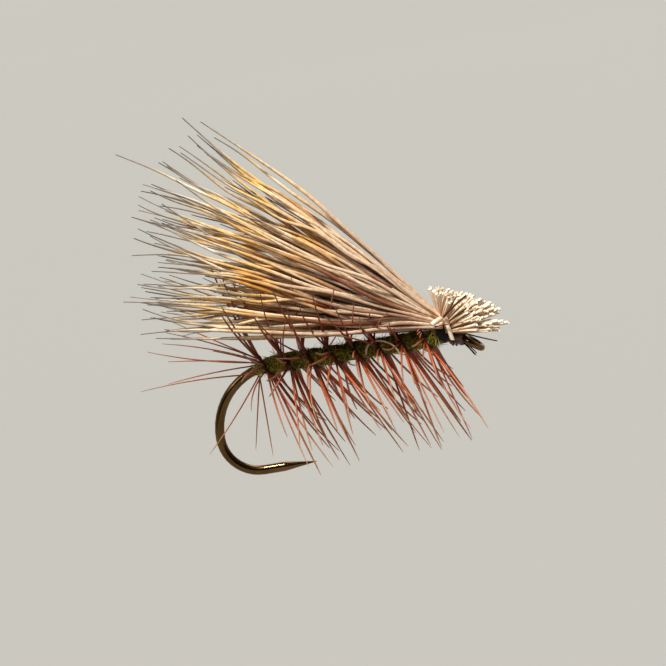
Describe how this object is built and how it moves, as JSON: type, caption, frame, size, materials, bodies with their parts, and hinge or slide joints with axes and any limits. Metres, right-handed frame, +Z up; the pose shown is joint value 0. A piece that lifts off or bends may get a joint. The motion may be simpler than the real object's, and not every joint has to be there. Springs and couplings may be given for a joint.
{
  "type": "dry fly",
  "caption": "Down-wing dry fly: a bronzed hook with a turned-down eye, olive dubbed body, palmered brown hackle, elk hair wing and trimmed hair head.",
  "frame": {"origin": "centre of the hook's eye", "axes": "+X along the shank towards the eye, +Z up, away from the hook's point, +Y across the fly"},
  "size_m": [0.0161, 0.0107, 0.0167],
  "materials": {
    "bronzed_wire": "bronzed, satin to gloss",
    "olive_thread": "waxed thread",
    "olive_dubbing": "matt fur",
    "hackle_quill": "satin quill",
    "hackle_barb": "glossy feather fibre",
    "elk_hair": "satin hair",
    "elk_butts": "satin hair with matt cut ends",
    "black_thread": "waxed thread",
    "head_cement": "clear gloss varnish over dark thread"
  },
  "bodies": {
    "root": {"hook": "bronzed_wire", "thread_base": "olive_thread", "dubbing_body": "olive_dubbing", "hackle_stem": "hackle_quill", "hackle_barbs_1": "hackle_barb", "hackle_barbs_2": "hackle_barb", "hackle_barbs_3": "hackle_barb", "hackle_barbs_4": "hackle_barb", "hackle_barbs_5": "hackle_barb", "hackle_barbs_6": "hackle_barb", "hackle_barbs_7": "hackle_barb", "hackle_barbs_8": "hackle_barb", "wing_waist": "elk_hair", "wing_hair_drape_near": "elk_hair", "wing_hair_drape_far": "elk_hair", "wing_hair_lower_near": "elk_hair", "wing_hair_lower_far": "elk_hair", "wing_hair_middle_near": "elk_hair", "wing_hair_middle_far": "elk_hair", "wing_hair_upper_near": "elk_hair", "wing_hair_upper_far": "elk_hair", "wing_hair_top": "elk_hair", "head_butts_near": "elk_butts", "head_butts_far": "elk_butts", "head_butts_front": "elk_butts", "head_butts_top": "elk_butts", "tie_in_thread": "black_thread", "head_thread": "black_thread", "head_cement": "head_cement", "thread_tag": "black_thread", "stray_fibre": "hackle_barb"}
  },
  "joints": []
}
